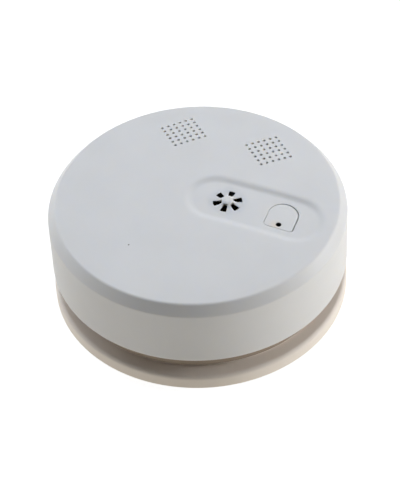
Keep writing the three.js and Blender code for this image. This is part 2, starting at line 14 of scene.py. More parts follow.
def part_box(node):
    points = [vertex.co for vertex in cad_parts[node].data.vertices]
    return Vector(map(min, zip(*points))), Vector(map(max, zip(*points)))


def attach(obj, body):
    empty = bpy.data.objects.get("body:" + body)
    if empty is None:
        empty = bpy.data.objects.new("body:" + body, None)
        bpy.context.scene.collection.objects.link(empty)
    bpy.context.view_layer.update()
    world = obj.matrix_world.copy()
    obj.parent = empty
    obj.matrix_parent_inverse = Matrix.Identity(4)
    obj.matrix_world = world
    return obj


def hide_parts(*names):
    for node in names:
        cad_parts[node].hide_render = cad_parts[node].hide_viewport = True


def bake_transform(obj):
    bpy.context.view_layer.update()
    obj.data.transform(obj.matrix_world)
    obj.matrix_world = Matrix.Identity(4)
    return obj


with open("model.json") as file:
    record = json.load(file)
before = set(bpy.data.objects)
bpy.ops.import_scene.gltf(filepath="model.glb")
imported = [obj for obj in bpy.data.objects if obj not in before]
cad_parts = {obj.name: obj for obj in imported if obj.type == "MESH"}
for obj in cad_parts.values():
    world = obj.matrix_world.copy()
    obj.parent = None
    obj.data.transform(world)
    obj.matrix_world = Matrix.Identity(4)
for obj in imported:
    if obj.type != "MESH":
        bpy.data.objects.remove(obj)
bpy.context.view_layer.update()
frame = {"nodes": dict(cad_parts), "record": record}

MM = 0.001
SIDES = 192                      # sides of the large turned shapes
EDGE_STEPS = 3                   # rings in a rounded edge
SHARP_ANGLE = 50                 # degrees from which an edge is shaded as sharp


def box_mm(node):
    """Lowest and highest corner of a CAD node, in millimetres."""
    low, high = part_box(node)
    return np.array(low) / MM, np.array(high) / MM


# ------------------------------------------------------------------ sizes from the frame

COVER_LOW, COVER_HIGH = box_mm("cover")
NECK_LOW, NECK_HIGH = box_mm("rear_housing")
CUP_LOW, CUP_HIGH = box_mm("horn_cup")
PIPE_LOW, PIPE_HIGH = box_mm("light_pipe")
SPRING_LOW, SPRING_HIGH = box_mm("button_spring")

# Cover
CROWN_Z = 48.7
DOME_DROP = 4.0
DOME_R = 56.9
CHAMFER_R = 60.0
CHAMFER_Z = 40.65
SKIRT_R = COVER_HIGH[0]
SKIRT_Z = COVER_LOW[2]
WALL = 2.5
CREASE_R = DOME_R - 1.4          # where the underside bends down into the skirt
DISC_R = 54.4                    # the cover's two faces reach to here, and turned rings go on from them

# Recess in the cover
RECESS_LEFT = 8.0
RECESS_RIGHT = 40.6
RECESS_HALF = 12.4
RECESS_FLOOR_HALF = 9.7
RECESS_DEPTH = 1.0
FOOT_BLEND = 0.8                 # half widths of the soft bends at the wall's foot and brim
BRIM_BLEND = 1.0

# Vents and sounder opening
VENT_X = 18.55
VENT_Y = 34.1
VENT_COUNT = 6
VENT_PITCH = 2.683
VENT_R = 0.62
VENT_EDGE = 0.12                 # rounding of the vents' edges
HORN_X = (CUP_LOW[0] + CUP_HIGH[0]) / 2
SLOT_COUNT = 6
SLOT_INNER_R = 2.3
SLOT_OUTER_R = 5.9
SLOT_INNER_W = 1.5
SLOT_OUTER_W = 2.7
SLOT_CORNER = 0.25
SLOT_EDGE = 0.14
HUB_RISE = 1.3
HUB_INNER_R = 1.4                # the hub falls off between these two radii
HUB_OUTER_R = 4.0
THIN_R = 7.5                     # the cover is thinner within this distance of the opening's middle
THIN_BY = 1.2

# Test button and its opening, a D with its flat side towards -Y
BUTTON_X = 35.95
BUTTON_HALF = 5.8
BUTTON_FLAT_Y = -6.6
BUTTON_ARCH_Y = 1.1
BUTTON_CORNER = 1.3
BUTTON_GAP = 0.3
BUTTON_SHIFT = np.array([-0.17, -0.17])      # the button lies a little to one side of its opening
OPENING_EDGE = 0.12
CAP_EDGE = 0.22
LED_X = (PIPE_LOW[0] + PIPE_HIGH[0]) / 2
LED_Y = (PIPE_LOW[1] + PIPE_HIGH[1]) / 2
LED_HOLE_R = 1.15
LED_HOLE_EDGE = 0.08
FLANGE_TOP = 43.9
FLANGE_BOTTOM = 42.7
FLANGE_OUT = 1.2
STEM_X = 35.7
STEM_Y = 3.5
STEM_R = 1.9
STEM_Z = box_mm("test_button")[0][2]
STEM_TIP_R = 0.5                 # flat middle of the stem's end
SPRING_WIRE_R = 0.28
SPRING_TURNS = 5

# Rear housing
NECK_R = NECK_HIGH[0]
FLOOR_Z = NECK_LOW[2]
FLOOR_TOP = FLOOR_Z + 2.0
FLOOR_R = 53.2                   # the floor's two faces reach to here, and the neck goes on from them
NECK_TOP = NECK_HIGH[2]
NECK_WALL = 2.0
WINDOW_COUNT = 8
WINDOW_HALF = 7.0
WINDOW_LOW = 18.0
WINDOW_HIGH = 31.0
WINDOW_STEPS = 9                 # quads across a window
BAY_LOW = np.array([-24.5, -40.6])
BAY_HIGH = np.array([30.0, -13.1])
BAY_TOP = 27.4
BAY_WALL = 1.5
BAY_EDGE = 0.4                   # rounding round the bay's roof
LEAD_LOW = (24.5, -25.0)         # opening in the bay's roof for the battery leads
LEAD_HIGH = (29.7, -15.5)
PCB_POSTS = [(-44.5, -6), (43, -4), (24, 34)]
POST_R = 3.0
POST_TOP = 19.7
PILOT_R = 1.15
PILOT_END = 13.0
TIP_CHAMFER = 0.3                # chamfer on the ends of posts and tubes

# Long screws, and the tubes and bosses they run in
SCREW_CIRCLE_R = 47.0
SCREW_ANGLES = [90, 210, 330]
TUBE_R = 4.6
TUBE_TOP = 24.0
TUBE_SIDES = 36
POST_SIDES = 28
POCKET_R = 3.3
POCKET_TOP = 22.4
SCREW_HOLE_R = 1.7
BOSS_R = 3.6
BOSS_Z = TUBE_TOP + 0.3
BOSS_HOLE_R = 1.4
BOSS_HOLE_TOP = TUBE_TOP + 12

# Bayonet
HOOK_ANGLES = [30, 150, 270]
HOOK_HALF_ANGLE = 6.0
HOOK_INNER_R = 46.0
HOOK_POST_R = 47.6
HOOK_LIP_R = 49.6
HOOK_LIP_Z = 11.1
HOOK_TOP = 12.6
TWIST = 13.0
SLOT_SPARE = 0.3                 # room round a hook in its slot
SLOT_REACH = HOOK_HALF_ANGLE + 0.5

# Mounting plate
PLATE_R = box_mm("mounting_plate")[1][0]
PLATE_TOP = 6.3
PLATE_UNDER = PLATE_TOP - 2.5
PLATE_EDGE = 0.25                # rounding of ribs, hooks and screw slots
PLATE_RIM = 2.2
PLATE_HOLE_R = 18.0
WEB_INNER_R = 22.5               # the plate's flat faces lie between these, and turned rings go on from them
WEB_OUTER_R = 44.0
SEAT_OUTER_R = 54.0
SEAT_INNER_R = 51.2
SEAT_TOP = FLOOR_Z - 0.3
RIB_ANGLES = [45, 135, 225, 315]
RIB_HALF = 0.8
RIB_Z = 0.1                      # just above the rim's lower face
SCREW_SLOT_R = 30.0
SCREW_SLOT_HALF = 2.4
SCREW_SLOT_HALF_ANGLE = 10.0


# ------------------------------------------------------------------ mesh tools

def circle(r, count, x=0.0, y=0.0):
    """Points of a circle, anticlockwise from +X."""
    turn = np.linspace(0, 2 * math.pi, count, endpoint=False)
    return np.c_[x + r * np.cos(turn), y + r * np.sin(turn)]


def arc(r, start, end, steps, x=0.0, y=0.0):
    """Points of an arc in degrees, both ends included."""
    turn = np.radians(np.linspace(start, end, steps + 1))
    return np.c_[x + r * np.cos(turn), y + r * np.sin(turn)]


def void_side(loop):
    """Unit normals to the right of a closed loop: outwards on an anticlockwise outline, into the hole on a
    clockwise one."""
    along = np.roll(loop, -1, 0) - np.roll(loop, 1, 0)
    along /= np.linalg.norm(along, axis=1)[:, None]
    return np.c_[along[:, 1], -along[:, 0]]


def inside(points, loop):
    """Which points lie inside a closed loop, by counting the edges to their right."""
    hit = np.zeros(len(points), bool)
    low, high = loop.min(0), loop.max(0)
    near = np.where(((points > low) & (points < high)).all(1))[0]
    x, y = points[near].T
    odd = np.zeros(len(near), bool)
    for (x0, y0), (x1, y1) in zip(loop, np.roll(loop, -1, 0)):
        if y0 != y1:
            odd ^= ((y0 > y) != (y1 > y)) & (x < (x1 - x0) * (y - y0) / (y1 - y0) + x0)
    hit[near] = odd
    return hit


def rotated(points, degrees):
    """Points turned anticlockwise about the origin."""
    turn = math.radians(degrees)
    return points @ np.array([[math.cos(turn), math.sin(turn)], [-math.sin(turn), math.cos(turn)]])


def rounded_path(corners, steps=5):
    """A profile of [r, z, radius] corners as a path, with each corner rounded to its radius."""
    points = [np.array(c[:2], float) for c in corners]
    path = [points[0]]
    for before, here, after, corner in zip(points, points[1:], points[2:], corners[1:]):
        radius = corner[2] if len(corner) > 2 else 0
        if not radius:
            path.append(here)
            continue
        a = (before - here) / np.linalg.norm(before - here)
        b = (after - here) / np.linalg.norm(after - here)
        half = math.acos(max(-1.0, min(1.0, float(a @ b)))) / 2
        reach = radius / math.tan(half)
        centre = here + (a + b) / np.linalg.norm(a + b) * radius / math.sin(half)
        start, end = here + a * reach - centre, here + b * reach - centre
        turn = math.acos(max(-1.0, min(1.0, float(start @ end) / radius**2)))
        for k in range(steps + 1):
            left, done = (1 - k / steps) * turn, k / steps * turn
            path.append(centre + (math.sin(left) * start + math.sin(done) * end) / math.sin(turn))
    path.append(points[-1])
    return path


def level(z):
    """A height function for a flat face."""
    return lambda xy: np.full(len(xy), float(z))


class Shell:
    """A mesh in the making: points in millimetres, and faces that index them."""

    def __init__(self):
        self.points = []
        self.faces = []

    def add(self, points):
        """Adds points and returns their indices."""
        first = len(self.points)
        self.points.extend(tuple(float(c) for c in p) for p in points)
        return list(range(first, len(self.points)))

    def bridge(self, upper, lower, gaps=()):
        """Quads from one closed ring down to the next, except at the gaps. They face the rings' void side."""
        count = len(upper)
        for i in range(count):
            j = (i + 1) % count
            if i not in gaps:
                self.faces.append((upper[i], lower[i], lower[j], upper[j]))

    def rings(self, rings):
        """Bridges each closed ring to the next."""
        for upper, lower in zip(rings, rings[1:]):
            self.bridge(upper, lower)

    def cap(self, ring, height, up):
        """Closes a ring by a fan round its centre."""
        points = np.array([self.points[i] for i in ring])
        middle = self.add([(*points[:, :2].mean(0), height)])[0]
        for a, b in zip(ring, ring[1:] + ring[:1]):
            self.faces.append((a, b, middle) if up else (b, a, middle))

    def face(self, loops, extra, height, up=True):
        """One face of a plate with holes. loops are arrays of x, y: the outline anticlockwise and the holes
        clockwise. extra points lie inside, and height gives the Z of each point. Returns each loop's ring."""
        starts = [int(start) for start in np.cumsum([0] + [len(loop) for loop in loops])]
        edges = [(start + i, start + (i + 1) % len(loop)) for start, loop in zip(starts, loops)
                 for i in range(len(loop))]
        flat = np.vstack([*loops, extra]) if len(extra) else np.vstack(loops)
        made = delaunay_2d_cdt([Vector(p) for p in flat], edges, [], 0, 1e-6)
        corners, _, made_faces, sources, _, _ = made
        xy = np.array([tuple(v) for v in corners])
        place = {source: i for i, group in enumerate(sources) for source in group}
        triangles = np.array([f for f in made_faces if len(f) == 3])
        middles = xy[triangles].mean(1)
        keep = inside(middles, loops[0])
        for loop in loops[1:]:
            keep &= ~inside(middles, loop)
        triangles = triangles[keep]
        a, b, c = (xy[triangles[:, k]] for k in range(3))
        turn = (b[:, 0] - a[:, 0]) * (c[:, 1] - a[:, 1]) - (b[:, 1] - a[:, 1]) * (c[:, 0] - a[:, 0])
        wrong = (turn < 0) == up
        triangles[wrong] = triangles[wrong][:, ::-1]
        used = np.unique(triangles)
        points = self.add(np.c_[xy[used], height(xy[used])])
        number = {int(v): points[i] for i, v in enumerate(used)}
        self.faces.extend(tuple(number[int(v)] for v in face) for face in triangles)
        return [[number[place[start + i]] for i in range(len(loop))] for start, loop in zip(starts, loops)]

    def ring(self, loop, height):
        """The points of a loop at one height."""
        return self.add(np.c_[loop, np.full(len(loop), float(height))])

    def edge(self, loop, height, radius, falling):
        """Rings of a rounded edge just outside a loop: from a face down to the side, or from the side down to
        a lower face."""
        out = void_side(loop)
        z = height(loop)
        sign = -1 if falling else 1
        turns = [math.pi / 2 * k / EDGE_STEPS for k in range(1, EDGE_STEPS + 1)]
        rings = [self.add(np.c_[loop + out * radius * math.sin(a), z + sign * radius * (1 - math.cos(a))])
                 for a in turns]
        return rings if falling else rings[::-1]

    def side(self, loop, upper, lower, top, bottom, radius):
        """The side of a plate between the upper and lower ring of one loop, with both edges rounded. top and
        bottom are the heights of the faces, and the side stands outside the loop by radius."""
        falling = self.edge(loop, top, radius, True)
        rising = self.edge(loop, bottom, radius, False)
        self.rings([upper, *falling, *rising, lower])

    def slab(self, loop, low, high, radius):
        """A closed block with rounded edges, between two heights."""
        upper = self.face([loop], [], level(high))[0]
        lower = self.face([loop], [], level(low), up=False)[0]
        self.side(loop, upper, lower, level(high), level(low), radius)

    def post(self, path, x, y, sides=32):
        """A closed turned body from a path of [r, z] that starts on its top face and ends on its lowest."""
        made = [self.ring(circle(r, sides, x, y), z) for r, z in path]
        self.rings(made)
        self.cap(made[0], path[0][1], True)
        self.cap(made[-1], path[-1][1], False)

    def piece(self, name, material, body, stands_for):
        """Makes the object, with normals that let its large faces lead, and hands it to the frame. A piece
        without a body is left unattached."""
        mesh = bpy.data.meshes.new(name)
        mesh.from_pydata([tuple(c * MM for c in p) for p in self.points], [], self.faces)
        mesh.validate()
        mesh.polygons.foreach_set("use_smooth", [True] * len(mesh.polygons))
        mesh.set_sharp_from_angle(angle=math.radians(SHARP_ANGLE))
        mesh.materials.append(material)
        made = bpy.data.objects.new(name, mesh)
        bpy.context.scene.collection.objects.link(made)
        weighted = made.modifiers.new("weighted_normals", "WEIGHTED_NORMAL")
        weighted.keep_sharp = True
        if body:
            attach(made, body)
        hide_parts(*stands_for)
        return made


# ------------------------------------------------------------------ materials

NOISE_LOW, NOISE_HIGH = 0.3, 0.7             # most of a noise texture's values lie between these
SHADE_SCALE, GLOSS_SCALE, GRAIN_SCALE = 45, 260, 2600
METAL_SHADE_SCALE, DRAWN_SCALE = 180, 900


def new_material(name):
    """A material, its nodes and links, its shader, and the socket with the place in the frame."""
    material = bpy.data.materials.new(name)
    material.use_nodes = True
    nodes, links = material.node_tree.nodes, material.node_tree.links
    shader = next(n for n in nodes if n.type == "BSDF_PRINCIPLED")
    where = nodes.new("ShaderNodeTexCoord")
    return material, nodes, links, shader, where.outputs["Object"]


def noise(nodes, links, where, scale, detail):
    made = nodes.new("ShaderNodeTexNoise")
    made.inputs["Scale"].default_value = scale
    made.inputs["Detail"].default_value = detail
    links.new(where, made.inputs["Vector"])
    return made.outputs["Fac"]


def spread(nodes, links, value, low, high):
    """A noise value, spread from low to high."""
    made = nodes.new("ShaderNodeMapRange")
    made.inputs["From Min"].default_value = NOISE_LOW
    made.inputs["From Max"].default_value = NOISE_HIGH
    made.inputs["To Min"].default_value = low
    made.inputs["To Max"].default_value = high
    links.new(value, made.inputs["Value"])
    return made.outputs["Result"]


def two_colours(nodes, links, factor, first, second):
    made = nodes.new("ShaderNodeMix")
    made.data_type = "RGBA"
    made.inputs["A"].default_value = (*first, 1)
    made.inputs["B"].default_value = (*second, 1)
    links.new(factor, made.inputs["Factor"])
    return made.outputs["Result"]


def bump(nodes, links, height, distance):
    made = nodes.new("ShaderNodeBump")
    made.inputs["Distance"].default_value = distance
    made.inputs["Strength"].default_value = 1.0
    links.new(height, made.inputs["Height"])
    return made.outputs["Normal"]


def moulded(name, colour, roughness, change=0.03, glow=0.0):
    """Moulded plastic: a fine spark-eroded grain, slow changes of shade, and slightly uneven gloss.
    glow is how much of the light spreads inside it."""
    material, nodes, links, shader, where = new_material(name)
    shade = spread(nodes, links, noise(nodes, links, where, SHADE_SCALE, 3), 0.0, 1.0)
    darker = tuple(c * (1 - change) for c in colour)
    links.new(two_colours(nodes, links, shade, colour, darker), shader.inputs["Base Color"])
    grain = noise(nodes, links, where, GRAIN_SCALE, 2)
    gloss = noise(nodes, links, where, GLOSS_SCALE, 3)
    uneven = spread(nodes, links, gloss, roughness - 0.04, roughness + 0.04)
    links.new(uneven, shader.inputs["Roughness"])
    links.new(bump(nodes, links, grain, 0.00001), shader.inputs["Normal"])
    shader.inputs["IOR"].default_value = 1.5
    shader.inputs["Subsurface Weight"].default_value = glow
    shader.inputs["Subsurface Scale"].default_value = 0.0012
    shader.inputs["Subsurface Radius"].default_value = (1.0, 0.9, 0.75)
    return material, nodes, links, shader, where


def metal(name, colour, roughness):
    """Metal with fine drawn lines and uneven brightness."""
    material, nodes, links, shader, where = new_material(name)
    shader.inputs["Metallic"].default_value = 1.0
    dull = tuple(c * 0.75 for c in colour)
    slow = spread(nodes, links, noise(nodes, links, where, METAL_SHADE_SCALE, 4), 0, 1)
    links.new(two_colours(nodes, links, slow, colour, dull), shader.inputs["Base Color"])
    fine = noise(nodes, links, where, DRAWN_SCALE, 4)
    links.new(spread(nodes, links, fine, roughness - 0.08, roughness + 0.1), shader.inputs["Roughness"])
    links.new(bump(nodes, links, fine, 0.000004), shader.inputs["Normal"])
    return material


def spot(nodes, links, where, place, radius, soft):
    """1 within radius of a place, fading to 0 over soft. All three are in millimetres."""
    distance = nodes.new("ShaderNodeVectorMath")
    distance.operation = "DISTANCE"
    links.new(where, distance.inputs[0])
    distance.inputs[1].default_value = tuple(c * MM for c in place)
    made = nodes.new("ShaderNodeMapRange")
    made.interpolation_type = "SMOOTHSTEP"
    made.inputs["From Min"].default_value = radius * MM
    made.inputs["From Max"].default_value = (radius + soft) * MM
    made.inputs["To Min"].default_value = 1.0
    made.inputs["To Max"].default_value = 0.0
    links.new(distance.outputs["Value"], made.inputs["Value"])
    return made.outputs["Result"]


def paint_over(nodes, links, shader, factor, colour):
    """Mixes a colour over what the shader's base colour has so far."""
    socket = shader.inputs["Base Color"]
    before = socket.links[0].from_socket
    made = nodes.new("ShaderNodeMix")
    made.data_type = "RGBA"
    made.inputs["B"].default_value = (*colour, 1)
    links.new(before, made.inputs["A"])
    links.new(factor, made.inputs["Factor"])
    links.new(made.outputs["Result"], socket)


COVER_WHITE = (0.765, 0.765, 0.765)
BASE_WHITE = (0.95, 0.87, 0.79)
# The neck is the base's plastic, darkened to brown as painted shade under the skirt.
NECK_SHADE_BROWN = (0.36, 0.285, 0.22)
GATE_GREY = (0.2, 0.19, 0.18)
# Colour of the painted glow of the LED beside its hole.
LED_GLOW_PAINTED = (0.86, 0.72, 0.55)
# Colour of the painted shade in the bore of the LED hole.
BORE_SHADE_PAINTED = (0.035, 0.033, 0.022)
GATE_MARK = (-15.5, -34.2)       # small mark of the mould on the cover


def dome_z(x, y):
    """Height of the dome."""
    return CROWN_Z - DOME_DROP * (x * x + y * y) / DOME_R**2


def dome(xy):
    return dome_z(*xy.T)


def cover_plastic():
    """The cover's white plastic, with the gate mark."""
    material, nodes, links, shader, where = moulded("cover_plastic", COVER_WHITE, 0.5, glow=0.7)
    mark = spot(nodes, links, where, (*GATE_MARK, dome_z(*GATE_MARK)), 0.2, 0.25)
    paint_over(nodes, links, shader, mark, GATE_GREY)
    return material


def button_plastic_painted_light():
    """The button's white plastic, with a painted warm glow of the LED beside its hole and painted shade in
    its bore.
    """
    material, nodes, links, shader, where = moulded("button_plastic_painted_light", COVER_WHITE, 0.46, glow=0.5)
    height = dome_z(LED_X, LED_Y) - RECESS_DEPTH
    # Painted light: a faint warm glow of the LED through the plastic, beside the hole.
    painted_led_glow = spot(nodes, links, where, (LED_X - 1.4, LED_Y - 0.9, height), 0.4, 3.2)
    faint_painted_led_glow = nodes.new("ShaderNodeMath")
    faint_painted_led_glow.operation = "MULTIPLY"
    faint_painted_led_glow.inputs[1].default_value = 0.4
    links.new(painted_led_glow, faint_painted_led_glow.inputs[0])
    paint_over(nodes, links, shader, faint_painted_led_glow.outputs["Value"], LED_GLOW_PAINTED)
    # Painted shade: the bore of the LED hole is darkened below the cap's top.
    painted_bore_shade = spot(nodes, links, where, (LED_X, LED_Y, height - 2.4), 2.2, 0.4)
    paint_over(nodes, links, shader, painted_bore_shade, BORE_SHADE_PAINTED)
    return material


WHITE = cover_plastic()
BUTTON = button_plastic_painted_light()
WARM = moulded("base_plastic", BASE_WHITE, 0.52, glow=0.1)[0]
# Painted shade: the neck is darker than the base to stand for the shade under the skirt.
NECK = moulded("neck_plastic_painted_shade", NECK_SHADE_BROWN, 0.55)[0]
BLACK = moulded("black_plastic", (0.018, 0.018, 0.02), 0.55)[0]
# Painted shade: the clear light pipe is made near black, so that the LED hole reads dark.
CLEAR_DARKENED_AS_SHADE = moulded("clear_plastic", (0.05, 0.045, 0.035), 0.12)[0]
AMBER = moulded("amber_lens", (0.75, 0.22, 0.03), 0.15)[0]
GREEN = moulded("circuit_board", (0.02, 0.12, 0.05), 0.35, change=0.25)[0]
CERAMIC = moulded("ceramic", (0.72, 0.69, 0.6), 0.6, change=0.1)[0]
JACKET = moulded("battery_case", (0.04, 0.055, 0.09), 0.3, change=0.2)[0]
RED_WIRE = moulded("red_insulation", (0.42, 0.015, 0.012), 0.45)[0]
BLACK_WIRE = moulded("black_insulation", (0.012, 0.012, 0.013), 0.45)[0]
STEEL = metal("steel", (0.56, 0.57, 0.59), 0.3)
BRASS = metal("brass", (0.68, 0.5, 0.2), 0.25)
COPPER = metal("copper", (0.62, 0.28, 0.12), 0.35)

SLOT_MATERIALS = {
    "cover_plastic": WHITE, "base_plastic": WARM, "black_plastic": BLACK, "clear_plastic": CLEAR_DARKENED_AS_SHADE,
    "amber_lens": AMBER, "steel": STEEL, "circuit_board": GREEN, "copper": COPPER, "brass": BRASS,
    "ceramic": CERAMIC, "battery_case": JACKET, "red_insulation": RED_WIRE, "black_insulation": BLACK_WIRE,
}


# ------------------------------------------------------------------ cover

def recess_distance(xy):
    """Distance from the middle line of the recess."""
    x = np.clip(xy[:, 0], RECESS_LEFT, RECESS_RIGHT)
    return np.hypot(xy[:, 0] - x, xy[:, 1])


def horn_distance(xy):
    """Distance from the middle of the sounder opening."""
    return np.hypot(xy[:, 0] - HORN_X, xy[:, 1])


def smooth_step(t):
    """From 0 to 1 as t goes from 0 to 1, with soft ends."""
    t = np.clip(t, 0, 1)
    return t * t * (3 - 2 * t)


def soft_ramp(t, blend):
    """0 below 0 and t above it, with the bend rounded over plus and minus blend."""
    return np.where(t <= -blend, 0.0, np.where(t >= blend, t, (t + blend) ** 2 / (4 * blend)))


def cover_top(xy):
    """Height of the cover: the dome, less the recess with its sloping wall, and the hub in it."""
    slope = RECESS_DEPTH / (RECESS_HALF - RECESS_FLOOR_HALF)
    reach = recess_distance(xy)
    foot = soft_ramp(reach - RECESS_FLOOR_HALF, FOOT_BLEND)
    rise = slope * (foot - soft_ramp(reach - RECESS_HALF, BRIM_BLEND))
    hub = smooth_step((HUB_OUTER_R - horn_distance(xy)) / (HUB_OUTER_R - HUB_INNER_R))
    return dome(xy) - RECESS_DEPTH + rise + HUB_RISE * hub


def cover_under(xy):
    """Height of the cover's underside, which rises round the sounder opening."""
    return dome(xy) - WALL + THIN_BY * smooth_step(THIN_R + 1 - horn_distance(xy))


def stadium(half, arc_steps=30, straight_steps=28):
    """Outline round the recess's middle line, anticlockwise."""
    right = arc(half, -90, 90, arc_steps, RECESS_RIGHT)
    left = arc(half, 90, 270, arc_steps, RECESS_LEFT)
    along = np.linspace(0, 1, straight_steps + 1)[1:-1, None]
    upper = right[-1] + (left[0] - right[-1]) * along
    lower = left[-1] + (right[0] - left[-1]) * along
    return np.vstack([right, upper, left, lower])


def vent_centres():
    """Centres of the vents: two square grids turned by 45 degrees."""
    step = VENT_PITCH / math.sqrt(2)
    for side in (-1, 1):
        for i in range(VENT_COUNT):
            for j in range(VENT_COUNT):
                yield side * VENT_X + (i - j) * step, VENT_Y + (i + j - VENT_COUNT + 1) * step


def rounded_polygon(corners, radius, steps=4, spacing=0.5):
    """A closed anticlockwise outline with rounded corners and points along its straight sides."""
    corners = [np.array(c, float) for c in corners]
    bends = []
    for k, here in enumerate(corners):
        before, after = corners[k - 1], corners[(k + 1) % len(corners)]
        bends.append(rounded_path([(*before,), (*here, radius), (*after,)], steps)[1:-1])
    outline = []
    for bend, following in zip(bends, bends[1:] + bends[:1]):
        start, end = bend[-1], following[0]
        outline += [*bend, *between(start, end, int(np.linalg.norm(end - start) / spacing))]
    return np.array(outline)


def between(start, end, count):
    """Points spaced along a straight line, without its ends."""
    return [start + (end - start) * k / (count + 1) for k in range(1, count + 1)]


def slot_outline(degrees, grow):
    """One slot of the sounder opening, which widens outwards."""
    inner, outer = SLOT_INNER_R - grow, SLOT_OUTER_R + grow
    wide, narrow = SLOT_OUTER_W / 2 + grow, SLOT_INNER_W / 2 + grow
    bulge = math.sqrt(outer**2 - wide**2)
    corners = np.array([(inner, -narrow), (bulge, -wide), (outer, 0), (bulge, wide), (inner, narrow)])
    return rounded_polygon(rotated(corners, degrees) + (HORN_X, 0), SLOT_CORNER + grow)


def button_outline(grow):
    """The button's D, anticlockwise, grown on all sides."""
    half, corner = BUTTON_HALF + grow, BUTTON_CORNER + grow
    flat = BUTTON_FLAT_Y - grow
    arch = arc(half, 0, 180, 40, BUTTON_X, BUTTON_ARCH_Y)
    left = arc(corner, 180, 270, 8, BUTTON_X - half + corner, flat + corner)
    right = arc(corner, 270, 360, 8, BUTTON_X + half - corner, flat + corner)
    return np.array([*arch, *between(arch[-1], left[0], 7), *left, *between(left[-1], right[0], 10), *right,
                     *between(right[-1], arch[0], 7)])


def clear_of(points, loops, room):
    """The points that keep some room to every loop and lie in none of them."""
    keep = np.ones(len(points), bool)
    for loop in loops:
        near = ((points > loop.min(0) - room) & (points < loop.max(0) + room)).all(1)
        index = np.where(near & keep)[0]
        if len(index):
            distance = np.linalg.norm(points[index][:, None] - loop[None], axis=2).min(1)
            keep[index] &= (distance > room) & ~inside(points[index], loop)
    return points[keep]


def cover_points(holes):
    """Points that the cover's surface is drawn through, closer together where it bends."""
    dome_rings = np.vstack([circle(r, max(8, int(math.pi * r))) for r in np.arange(2.0, DISC_R - 1, 1.9)])
    dome_rings = dome_rings[recess_distance(dome_rings) > RECESS_HALF + 2.2]
    floor_grid = np.array([(x, y) for x in np.arange(-2, 52, 1.4) for y in np.arange(-9, 9.1, 1.4)])
    floor_grid = floor_grid[recess_distance(floor_grid) < RECESS_FLOOR_HALF - 1.6]
    floor_grid = floor_grid[horn_distance(floor_grid) > THIN_R + 0.1]
    halves = np.arange(RECESS_FLOOR_HALF - 1.1, RECESS_HALF + 1.6, 0.33)
    wall_lines = np.vstack([stadium(half) for half in halves])
    wall_lines = wall_lines[np.hypot(*wall_lines.T) < DISC_R - 0.5]
    vent_rings = np.vstack([circle(VENT_R + VENT_EDGE + 0.25, 12, x, y) for x, y in vent_centres()])
    hub_rings = np.vstack([circle(r, max(6, int(8 * r)), HORN_X) for r in np.arange(0.4, THIN_R, 0.5)])
    return np.vstack([
        clear_of(np.vstack([dome_rings, floor_grid]), holes, 0.75), clear_of(hub_rings, holes, 0.25),
        clear_of(wall_lines, holes, 0.3), clear_of(vent_rings, holes, 0.15),
    ])


def screw_centres():
    """Axes of the three long screws."""
    return [(SCREW_CIRCLE_R * math.cos(math.radians(a)), SCREW_CIRCLE_R * math.sin(math.radians(a)))
            for a in SCREW_ANGLES]


def make_cover():
    """Cover: dome with recess, vents and openings, chamfer, skirt, and the three screw bosses inside."""
    shell = Shell()
    vents = [circle(VENT_R + VENT_EDGE, 20, x, y)[::-1] for x, y in vent_centres()]
    slots = [slot_outline(30 + k * 360 / SLOT_COUNT, SLOT_EDGE)[::-1] for k in range(SLOT_COUNT)]
    button = button_outline(BUTTON_GAP + OPENING_EDGE)[::-1]
    holes = [*vents, *slots, button]
    edges = [VENT_EDGE] * len(vents) + [SLOT_EDGE] * len(slots) + [OPENING_EDGE]
    outline = circle(DISC_R, SIDES)
    upper = shell.face([outline, *holes], cover_points(holes), cover_top)
    under_rings = np.vstack([circle(r, int(r) + 6) for r in np.arange(2.0, DISC_R - 2, 4.0)]
                            + [circle(r, 60, HORN_X) for r in (7.4, 7.8, 8.2, 8.6)])
    lower = shell.face([outline, *holes], clear_of(under_rings, holes, 0.8), cover_under, up=False)
    for loop, above, below, radius in zip(holes, upper[1:], lower[1:], edges):
        shell.side(loop, above, below, cover_top, cover_under, radius)
    path = rounded_path([
        (DISC_R, dome_z(DISC_R, 0)), (DOME_R, CROWN_Z - DOME_DROP, 1.6), (CHAMFER_R, CHAMFER_Z, 1.6),
        (SKIRT_R, SKIRT_Z, 0.25), (SKIRT_R - WALL, SKIRT_Z, 0.3), (CHAMFER_R - WALL, CHAMFER_Z - 0.8, 2.0),
        (CREASE_R, dome_z(CREASE_R, 0) - WALL, 1.0), (DISC_R, dome_z(DISC_R, 0) - WALL),
    ], 7)
    shell.rings([upper[0], *[shell.ring(circle(r, SIDES), z) for r, z in path[1:-1]], lower[0]])
    for x, y in screw_centres():
        boss_top = dome_z(x, y) - 1
        shell.post(rounded_path([(BOSS_R, boss_top), (BOSS_R, BOSS_Z, 0.3), (BOSS_HOLE_R, BOSS_Z, 0.2),
                                 (BOSS_HOLE_R, BOSS_HOLE_TOP)], 3), x, y)
    shell.piece("cover_shell", WHITE, "alarm_head", ["cover"])


# ------------------------------------------------------------------ test button

def button_top(xy):
    return dome(xy) - RECESS_DEPTH


